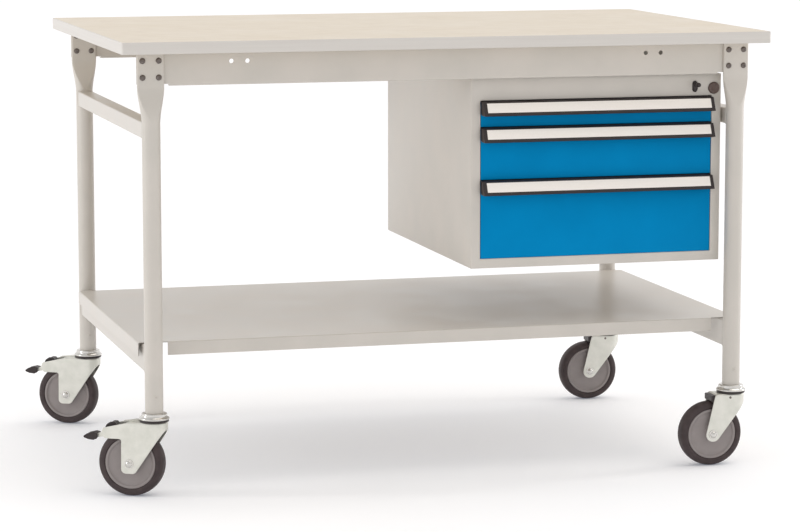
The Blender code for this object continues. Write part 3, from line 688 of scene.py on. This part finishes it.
# ---- tray shelf -----------------------------------------------------------------------------------
# One sheet of 1.5 mm steel with a lip folded down on each edge and open corners, powder-coated like
# the frame. It rests on the lower bars, and its long front lip stops short of the legs.
SHELF_SHEET = 0.0015
FOLD = 0.003
FOLD_STEPS = 6
LONG_LIP = 0.535
low, high, middle, half = extent("lower_shelf")
flat_x, flat_y = half.x - FOLD, half.y - FOLD
long_lip = min(flat_x, LONG_LIP)
corner_points = [(-flat_x, -flat_y), (-long_lip, -flat_y), (long_lip, -flat_y), (flat_x, -flat_y),
                 (flat_x, flat_y), (long_lip, flat_y), (-long_lip, flat_y), (-flat_x, flat_y)]
shelf_bm = bmesh.new()
flat_verts = [shelf_bm.verts.new((middle.x + x, middle.y + y, high.z)) for x, y in corner_points]
shelf_bm.faces.new(flat_verts)
fold_stops = []
for k in range(1, FOLD_STEPS + 1):
    turn = math.pi / 2 * k / FOLD_STEPS
    fold_stops.append((FOLD * math.sin(turn), FOLD * (1 - math.cos(turn))))
fold_stops.append((FOLD, high.z - low.z))
for first, second, out_x, out_y in ((1, 2, 0, -1), (3, 4, 1, 0), (5, 6, 0, 1), (7, 0, -1, 0)):
    row = [flat_verts[first], flat_verts[second]]
    base = [v.co.copy() for v in row]
    for reach, drop in fold_stops:
        new_row = [shelf_bm.verts.new(p + Vector((out_x * reach, out_y * reach, -drop))) for p in base]
        shelf_bm.faces.new((row[0], row[1], new_row[1], new_row[0]))
        row = new_row
shelf = add_piece("tray_shelf", shelf_bm, grey_coat, "bench", ["lower_shelf"])
wall = shelf.modifiers.new("sheet", "SOLIDIFY")
wall.thickness = SHELF_SHEET
wall.offset = -1.0
shelf.modifiers.move(1, 0)


# ---- cabinet shell --------------------------------------------------------------------------------
# A welded sheet-steel box, open at the front, whose front edges are folded into a narrow frame round
# the drawers. It is powder-coated like the legs, and every fold has a radius of about a millimetre.
def softened(node, width, material, steps=2):
    """A copy of a CAD node, merged and with its sharp edges rounded, that stands for the node."""
    bm = bmesh.new()
    bm.from_mesh(frame["nodes"][node].data)
    bmesh.ops.remove_doubles(bm, verts=bm.verts, dist=1e-6)
    bmesh.ops.dissolve_limit(bm, angle_limit=math.radians(0.5), verts=bm.verts, edges=bm.edges)
    piece = as_object(f"{node}_finished", bm)
    piece.data.materials.append(material)
    piece.data.shade_smooth()
    bevel = piece.modifiers.new("soft_edges", "BEVEL")
    bevel.width = width
    bevel.segments = steps
    bevel.limit_method = "ANGLE"
    bevel.angle_limit = math.radians(40)
    bevel.harden_normals = True
    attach(piece, frame["nodes"][node]["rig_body"])
    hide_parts(node)
    return piece


softened("cabinet_shell", 0.0012, grey_coat, steps=3)


# ---- hangers, runners and lock bar ----------------------------------------------------------------
# Galvanised sheet: two channels that hang the cabinet from the board, a rail on each side of every
# drawer, and the flat bar that the lock lifts to hold the drawers shut.

# Hot-dip galvanising leaves flat crystals, here 9 mm across, each a slightly different grey, under a
# fine grain from the rolling mill.
galvanised, tree, shader, place = start_material("galvanised_sheet", 0.42, metallic=0.75)
spangle = add_node(tree, "ShaderNodeTexVoronoi", {"Vector": place, "Scale": per_mm(9)})
zinc_tone = add_node(tree, "ShaderNodeSeparateColor", {"Color": spangle.outputs["Color"]})
zinc_ramp = add_node(tree, "ShaderNodeValToRGB", {"Fac": zinc_tone.outputs["Red"]})
zinc_ramp.color_ramp.elements[0].color = linear("BEBEBA")
zinc_ramp.color_ramp.elements[1].color = linear("CDCCC8")
tree.links.new(zinc_ramp.outputs["Color"], shader.inputs["Base Color"])
drifting_gloss(galvanised, zinc_tone.outputs["Green"], 0.34, 0.50)
for node in ("hanger_left", "hanger_right", "lock_bar"):
    softened(node, 0.0004, galvanised)
for number in (1, 2, 3):
    for side in ("left", "right"):
        softened(f"runner_{number}_{side}", 0.0004, galvanised)


# ---- drawers --------------------------------------------------------------------------------------
# Each drawer is a galvanised box behind a blue powder-coated front. A black plastic pull runs along
# the front's upper edge, and its slanted face holds a paper label strip under clear plastic.
blue_coat = powder_coat("blue_powder_coat", "0081BA", "0085BF", 0.36)
blue_shader = blue_coat.node_tree.nodes["Principled BSDF"]
blue_shader.inputs["Specular IOR Level"].default_value = 0.25
blue_shader.inputs["Specular Tint"].default_value = linear("4F9ED6")

# Polypropylene, injection-moulded or extruded: near black, satin, with a fine moulded grain of 0.6 mm,
# drawn at 0.9 mm so that it shows
black_plastic, _, _, _, grain = mottled("black_polypropylene", 0.42, 0.9, 2.0, "231A1A", "2E2424")
embossed(black_plastic, grain, 0.3, 0.00005)

# White card behind a clear PVC strip: warm white with faint fibre, and a gloss coat on top
label, _, shader, _, _ = mottled("label_strip_card", 0.5, 3, 5.0, "F1EAE2", "F8F3EC")
shader.inputs["Coat Weight"].default_value = 0.8
shader.inputs["Coat Roughness"].default_value = 0.12

PULL_WALL = 0.0028
PULL_BEND = 0.532
CAP_LENGTH = 0.0045
HOOK_TOP = 0.0009
STRIP_RISE = 0.09
for number in (1, 2, 3):
    body = f"drawer_{number}"
    softened(f"drawer_box_{number}", 0.0003, galvanised)
    softened(f"drawer_front_{number}", 0.0006, blue_coat, steps=3)
    low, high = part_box(f"drawer_handle_{number}")
    nose = high.y - (high.y - low.y) * PULL_BEND
    lip = [(high.y, high.z - PULL_WALL / 2), (nose + PULL_WALL * 0.55, high.z - PULL_WALL / 2),
           (low.y + PULL_WALL * 0.55, low.z)]
    pull = push_outline(sheet_section(lip, PULL_WALL, 0.0026, 6), "X", low.x + CAP_LENGTH / 2,
                        high.x - CAP_LENGTH / 2)
    add_piece(f"drawer_pull_{number}", pull, black_plastic, body,
              [f"drawer_handle_{number}"])

    # a strip at the pull's back hooks over the front's upper edge, and a cap closes each end
    front_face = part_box(f"drawer_front_{number}")[1].y
    hook = [(high.y - 0.001, high.z), (high.y - 0.001, high.z + HOOK_TOP),
            (front_face, high.z + HOOK_TOP), (front_face, high.z + 0.0002), (high.y, high.z + 0.0002)]
    cap = [(high.y, high.z), (nose + 0.0008, high.z), (nose, high.z - 0.0008), (low.y, low.z + 0.001),
           (low.y + 0.0006, low.z), (high.y - 0.004, low.z), (high.y, low.z + 0.004)]
    for name, outline, start, end in (
            (f"pull_hook_{number}", hook, low.x, high.x),
            (f"pull_cap_{number}_left", cap, low.x, low.x + CAP_LENGTH),
            (f"pull_cap_{number}_right", cap, high.x - CAP_LENGTH, high.x)):
        add_piece(name, push_outline(outline, "X", start, end), black_plastic, body)

    # the label strip sits a little above the middle of the slanted face
    strip = softened(f"label_strip_{number}", 0.0003, label)
    strip_low, strip_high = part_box(f"label_strip_{number}")
    strip.data.transform(Matrix.Translation((0.0, *((strip_high - strip_low).yz * STRIP_RISE))))


# ---- lock and plug --------------------------------------------------------------------------------
# A black oval lock cylinder with its round-headed key, high on the frame's right side, and beside it a
# brown plastic plug that closes a spare 23 mm hole.
def smooth_profile(points, steps=3):
    """A profile with its corners rounded by a few passes of corner cutting."""
    for _ in range(steps):
        finer = [points[0]]
        for (r0, h0), (r1, h1) in zip(points, points[1:]):
            finer.append((r0 * 0.75 + r1 * 0.25, h0 * 0.75 + h1 * 0.25))
            finer.append((r0 * 0.25 + r1 * 0.75, h0 * 0.25 + h1 * 0.75))
        points = finer + [points[-1]]
    return points


def back_seat(node):
    """The middle of a node's back face, and the node's half width, half height and depth."""
    low, high, middle, half = extent(node)
    return Vector((middle.x, high.y, middle.z)), half.x, half.z, high.y - low.y


LOCK_RIM = [(0.72, 0.0001), (0.93, 0.0008), (1.0, 0.0019)]
seat, half_x, half_z, depth = back_seat("lock_cylinder")
lock_profile = [(0.0, depth)] + [(share, depth - drop) for share, drop in LOCK_RIM]
lock_profile += [(1.0, 0.0), (0.0, 0.0)]
oval = turned(lock_profile, 40, axis="Y")
oval.transform(Matrix.Translation(seat) @ Matrix.Diagonal((half_x * 1.06, 1.0, half_z * 1.03, 1.0)))
add_piece("oval_lock", oval, black_plastic, "bench", ["lock_cylinder"], crease=50)

KEY_HEAD = [(0.55, 0.0004), (0.92, 0.0028), (1.0, 0.0068), (0.92, 0.0110), (0.55, 0.0150)]
KEY_SHANK = 0.0025
seat, radius, _, depth = back_seat("key")
key_profile = [(0.0, depth)] + [(radius * share, depth - drop) for share, drop in KEY_HEAD]
key_profile += [(KEY_SHANK, depth - 0.0158), (KEY_SHANK, 0.0), (0.0, 0.0)]
add_piece("key_with_round_head", turned(smooth_profile(key_profile, 2), 32, seat, "Y"), black_plastic,
          "lock_key", ["key"], crease=50)

# moulded brown plug: duller and warmer than the pulls, lightly scuffed on its crown
brown_plastic, *_ = mottled("brown_polyethylene", 0.5, 2.5, 4.0, "4B3C37", "6C5A53")
PLUG_CROWN = [(0.0, 0.72), (0.42, 0.72), (0.50, 0.95), (0.62, 1.0), (0.84, 0.88), (0.96, 0.55),
              (1.0, 0.25), (1.0, 0.0), (0.0, 0.0)]
seat, radius, _, depth = back_seat("round_plug")
plug_profile = [(radius * across, depth * up) for across, up in PLUG_CROWN]
add_piece("hole_plug", turned(plug_profile, 40, seat, "Y"), brown_plastic, "bench",
          ["round_plug"], crease=50)


# ---- casters --------------------------------------------------------------------------------------
# Four 125 mm swivel casters: a chromed bearing head with its stem in the leg, a fork pressed from
# zinc-plated sheet, a grey nylon wheel disc with a rubber tyre, and a domed axle bolt.

# Bright chromium plate: hard mirror, with a breath of haze
chrome, _, _, _, haze = mottled("chromium_plate", 0.14, 8, 4.0, "C9C7C2", "DCDAD6", metallic=1.0)
drifting_gloss(chrome, haze, 0.08, 0.22)

# Zinc plate with clear passivation on pressed steel: pale, faintly yellow-green, soft sheen, slightly
# cloudy from the bath
zinc, _, _, _, bath = mottled("zinc_plate", 0.38, 18, 5.0, "D3D3CA", "DEDDD5", (0.35, 0.65), 0.75)
drifting_gloss(zinc, bath, 0.30, 0.46)

# Tyre rubber: dark brown-grey, dull, with a dusty bloom in patches
rubber, *_ = mottled("tyre_rubber", 0.62, 14, 6.0, "332727", "413434", (0.35, 0.7))

# Polyamide wheel disc: mid grey, satin, with faint flow marks from moulding
nylon, *_ = mottled("grey_polyamide", 0.45, 22, 3.0, "857D7B", "968E8C")

TRAIL = 0.043
AXLE_HEIGHT = 0.0625
FORK_TOP = 0.1405
FORK_HALF = 0.0225
FORK_SHEET = 0.0026
NOSE = 0.0245
NOSE_CORNER = 0.019
NOSE_FOOT = 0.1250
CROWN_FOLD = 0.0035
HUB = (-TRAIL, 0.0, AXLE_HEIGHT)
HUB_RADIUS = 0.0145
TAIL = -0.11
AXLE_BORE = 0.0062
KING_BORE = 0.009
CUT_REACH = 0.04


def fork_plan(inset, tail):
    """The fork seen from above: straight cheeks, open behind, with a round-cornered nose."""
    corner = NOSE_CORNER - inset
    half = FORK_HALF - inset
    points = [(tail, -half)]
    for start, centre_y in ((-90, corner - half), (0, half - corner)):
        for k in range(9):
            angle = math.radians(start + 90 * k / 8)
            points.append((NOSE - inset - corner + corner * math.cos(angle),
                           centre_y + corner * math.sin(angle)))
    points.append((tail, half))
    return points


def fork_side(braked):
    """The cheek's side outline from the nose round; a braked cheek runs back to carry the pedal."""
    front = [(NOSE + SPARE, FORK_TOP), (NOSE + SPARE, NOSE_FOOT), (NOSE - 0.001, NOSE_FOOT)]
    if braked:
        foot = rounded_line([front[-1], (-0.0318, 0.0438), (-0.0585, 0.0438), (-0.0580, 0.0700)],
                            0.0088, 6)
        rest = rounded_line([(-0.0580, 0.0700), (-0.0575, 0.1080), (-0.0900, 0.1090), (-0.0960, 0.1170),
                             (-0.0930, 0.1285), (-0.0400, FORK_TOP), (-0.0300, FORK_TOP)], 0.0034, 4)
        return front + [tuple(p) for p in foot[1:-1] + rest[1:]]
    hub = []
    for k in range(13):
        angle = math.radians(-38 - 142 * k / 12)
        hub.append((-TRAIL + HUB_RADIUS * math.cos(angle), AXLE_HEIGHT + HUB_RADIUS * math.sin(angle)))
    rest = rounded_line([hub[-1], (-0.0400, 0.1365), (-0.0360, FORK_TOP), (-0.0200, FORK_TOP)], 0.002, 4)
    return front + hub + [tuple(p) for p in rest[1:]]


def crowned_plan(inset, tail, low_z, top_z):
    """The fork's plan raised to a height, its upper edge rolled over."""
    bm = bmesh.new()
    rings = [[bm.verts.new((x, y, low_z)) for x, y in fork_plan(inset, tail)]]
    for k in range(6):
        turn = math.pi / 2 * k / 5
        pull = CROWN_FOLD * (1 - math.cos(turn))
        height = top_z - CROWN_FOLD + CROWN_FOLD * math.sin(turn)
        rings.append([bm.verts.new((x, y, height)) for x, y in fork_plan(inset + pull, tail)])
    loft(bm, rings)
    return bm


def pressed_fork(braked):
    """The fork in its own frame: the swivel axis is Z, and the wheel trails towards -X."""
    block = combine("INTERSECT", push_outline(fork_side(braked), "Y", -CUT_REACH, CUT_REACH),
                    [crowned_plan(0.0, TAIL, 0.0, FORK_TOP)])
    inside = crowned_plan(FORK_SHEET, TAIL - SPARE, -SPARE, FORK_TOP - FORK_SHEET)
    axle_bore = turned([(AXLE_BORE, -CUT_REACH), (AXLE_BORE, CUT_REACH)], 24, HUB, "Y")
    king_bore = turned([(KING_BORE, -CUT_REACH), (KING_BORE, CUT_REACH)], 24, (0.0, 0.0, FORK_TOP))
    return combine("DIFFERENCE", block, [inside, axle_bore, king_bore])


def rounded_by_remesh(bm, voxel, rounds):
    """The same shape with every arris rounded, as pressing and tumbling leave it."""
    item = as_object("remesh", bm)
    remesh = item.modifiers.new("skin", "REMESH")
    remesh.mode = "VOXEL"
    remesh.voxel_size = voxel
    smooth = item.modifiers.new("tumble", "SMOOTH")
    smooth.factor = 0.5
    smooth.iterations = rounds
    return evaluated(item)


def caster_space(prefix):
    """The matrix from a caster's own frame, swivel axis up and wheel towards -X, to its place."""
    leg_middle = extent(f"{prefix}_caster_head")[2]
    foot = Vector((leg_middle.x, leg_middle.y, 0.0))
    trail = extent(f"{prefix}_axle")[2] - foot
    return Matrix.Translation(foot) @ Matrix.Rotation(math.atan2(-trail.y, -trail.x), 4, "Z")


def add_caster_parts(prefix, parts):
    """Adds parts of one caster, taking each from the caster's own frame to its place."""
    space = caster_space(prefix)
    for name, part, material, body, slot, node, crease in parts:
        part.transform(space)
        stands_for = [f"{prefix}_{node}"] if node else ()
        add_piece(f"{prefix}_{name}", part, material, body, stands_for, crease)


VOXEL = 0.0008
TUMBLING = 5
fork_meshes = {}
for braked in (True, False):
    fork_meshes[braked] = rounded_by_remesh(pressed_fork(braked), VOXEL, TUMBLING)

HEAD_PROFILE = [(0.0, 0.2000), (0.0120, 0.2000), (0.0145, 0.1970), (0.0145, 0.1572), (0.0185, 0.1572),
                (0.0228, 0.1566), (0.0240, 0.1550), (0.0240, 0.1522), (0.0252, 0.1500), (0.0278, 0.1484),
                (0.0286, 0.1470), (0.0286, 0.1456), (0.0276, 0.1446), (0.0200, 0.1444), (0.0, 0.1444)]
SEAL_PROFILE = [(0.0, 0.1445), (0.0266, 0.1445), (0.0272, 0.1436), (0.0272, 0.1414), (0.0266, 0.1406),
                (0.0, 0.1406)]
TYRE_HALF = [(0.0484, 0.0), (0.0484, 0.0140), (0.0494, 0.0152), (0.0515, 0.0158), (0.0552, 0.0155),
             (0.0590, 0.0137), (0.0613, 0.0105), (0.0623, 0.0060), (0.0625, 0.0)]
DISC_HALF = [(0.0063, 0.0), (0.0063, 0.0185), (0.0072, 0.0192), (0.0118, 0.0192), (0.0128, 0.0180),
             (0.0136, 0.0130), (0.0155, 0.0114), (0.0340, 0.0108), (0.0412, 0.0113), (0.0432, 0.0136),
             (0.0446, 0.0146), (0.0478, 0.0145), (0.0485, 0.0132), (0.0485, 0.0)]


def wheel_part(half_profile):
    """A part of the wheel, turned about the axle from the upper half of its closed profile."""
    profile = smooth_profile(half_profile, 2)
    profile += [(radius, -along) for radius, along in reversed(profile)]
    return turned(profile, 96, HUB, "Y", joined=True)


def rounded_prism(corners, radius, half_width, edge):
    """A side outline with round corners, pushed across the fork and with its rims rounded."""
    closed = corners + [corners[0], corners[1]]
    line = [tuple(p) for p in rounded_line(closed, radius, 4)][1:-1]
    bm = push_outline(line, "Y", -half_width, half_width)
    bmesh.ops.remove_doubles(bm, verts=bm.verts, dist=1e-6)
    rims = [e for e in bm.edges if abs(e.verts[0].co.y - e.verts[1].co.y) < 1e-6]
    bmesh.ops.bevel(bm, geom=rims, offset=edge, segments=3, profile=0.5, affect="EDGES",
                    clamp_overlap=True)
    return bm


BOLT_HEAD = [(0.0, 0.0052), (0.0022, 0.0050), (0.0046, 0.0040), (0.0062, 0.0024), (0.0066, 0.0012),
             (0.0088, 0.0011), (0.0090, 0.0001), (0.0060, 0.0)]
BOLT_NUT = [(0.0060, 0.0), (0.0090, 0.0001), (0.0088, 0.0011), (0.0070, 0.0012), (0.0070, 0.0042),
            (0.0058, 0.0050), (0.0, 0.0050)]
bolt_profile = [(radius, FORK_HALF + outward) for radius, outward in BOLT_HEAD]
bolt_profile += [(radius, -FORK_HALF - outward) for radius, outward in BOLT_NUT]
GUARD = [(-0.0460, 0.1262), (-0.0460, 0.1375), (-0.0370, 0.1385), (-0.0370, 0.1262)]
GUARD_PIN = [(0.0, 0.0007), (0.0014, 0.0006), (0.0023, 0.0003), (0.0025, -0.0005), (0.0, -0.0005)]
pin_profile = [(radius, FORK_HALF + outward) for radius, outward in GUARD_PIN]
for prefix in ("front_left", "back_left", "front_right", "back_right"):
    braked = prefix.endswith("left")
    swivel, wheel = f"{prefix}_swivel", f"{prefix}_wheel"
    parts = [("bearing_head", turned(smooth_profile(HEAD_PROFILE, 2), 64), chrome, "bench", "chrome",
              "caster_head", 40),
             ("seal", turned(SEAL_PROFILE, 48), black_plastic, swivel, "black_plastic", None, 35),
             ("pressed_fork", fork_meshes[braked].copy(), zinc, swivel, "zinc", "fork", 80),
             ("rubber_tyre", wheel_part(TYRE_HALF), rubber, wheel, "tyre_rubber", "tyre", 50),
             ("wheel_disc", wheel_part(DISC_HALF), nylon, wheel, "grey_plastic", "wheel_core", 50),
             ("axle_bolt", turned(bolt_profile, 32, HUB, "Y"), chrome, swivel, "chrome", "axle", 30)]

    # a free caster has a plastic thread guard between its cheeks and the pin that holds it on each side
    if not braked:
        guard = rounded_prism(GUARD, 0.0010, 0.0196, 0.0005)
        parts.append(("thread_guard", guard, black_plastic, swivel, "black_plastic", None, 35))
        for side, way in (("right", -1), ("left", 1)):
            pin = turned(pin_profile, 20, (-0.009, 0.0, 0.1335), "Y")
            pin.transform(Matrix.Scale(way, 4, (0.0, 1.0, 0.0)))
            parts.append((f"guard_pin_{side}", pin, black_oxide, swivel, "black_plastic", None, 35))
    add_caster_parts(prefix, parts)

for mesh in fork_meshes.values():
    mesh.free()


# ---- foot brakes ----------------------------------------------------------------------------------
# The left casters have a rocking brake: a black domed pad over the fork to release it, a black toe
# pedal behind to press, a zinc-plated link between the two, and a sprung steel tongue along the fork.
TOE = [(-0.1335, 0.1085), (-0.1260, 0.1135), (-0.1140, 0.1165), (-0.1075, 0.1150), (-0.1075, 0.1070),
       (-0.1140, 0.1040), (-0.1240, 0.1050)]
PAD = [(-0.0905, 0.1265), (-0.0870, 0.1325), (-0.0800, 0.1372), (-0.0730, 0.1368), (-0.0700, 0.1325),
       (-0.0740, 0.1280)]
LINK = [(-0.1110, 0.1080), (-0.1110, 0.1130), (-0.0985, 0.1165), (-0.0900, 0.1270), (-0.0860, 0.1305),
        (-0.0740, 0.1305), (-0.0740, 0.1215), (-0.0820, 0.1165), (-0.0935, 0.1105)]
TONGUE = [(-0.0585, 0.1386), (-0.0585, 0.1398), (-0.0440, 0.1414), (-0.0290, 0.1414), (-0.0290, 0.1402),
          (-0.0440, 0.1402)]

# moulded ribs across the toe pedal's upper face, for grip
rib_tree, given = start_tree("pedal_ribs", {
    "Rib Radius": "Float", "Rib Length": "Float", "Turn": "Rotation", "Material": "Material"})
rib = add_node(rib_tree, "GeometryNodeMeshCylinder", {
    "Vertices": 12, "Radius": given.outputs["Rib Radius"], "Depth": given.outputs["Rib Length"]})
end_on_points(rib_tree, given, rib.outputs["Mesh"])

RIB_COUNT = 5
RIB_SIZE = {"Rib Radius": 0.0007, "Rib Length": 0.020}
for prefix in ("front_left", "back_left"):
    space = caster_space(prefix)
    pedal = f"{prefix}_pedal"
    first, last = [Vector((x, 0.0, z)) for x, z in TOE[1:3]]
    across = (space.to_3x3() @ Matrix.Rotation(math.pi / 2, 3, "X")).to_euler()
    rib_seats = [space @ first.lerp(last, k / (RIB_COUNT - 1)) for k in range(RIB_COUNT)]
    grown_on_points(f"{prefix}_pedal_ribs", rib_seats, rib_tree, RIB_SIZE, across, black_plastic, pedal,
                    35)
    parts = []
    for name, corners, radius, half_width, edge, material, body, slot, node, crease in (
            ("toe_pedal", TOE, 0.0012, 0.0128, 0.0016, black_plastic, pedal, "black_plastic",
             "brake_lever", 40),
            ("release_pad", PAD, 0.0015, 0.0125, 0.0024, black_plastic, pedal, "black_plastic", None, 40),
            ("brake_link", LINK, 0.0010, 0.0085, 0.0008, zinc, pedal, "zinc", None, 40),
            ("brake_tongue", TONGUE, 0.0004, 0.0060, 0.0003, zinc, f"{prefix}_swivel", "zinc", None, 35)):
        part = rounded_prism(corners, radius, half_width, edge)
        parts.append((name, part, material, body, slot, node, crease))
    add_caster_parts(prefix, parts)
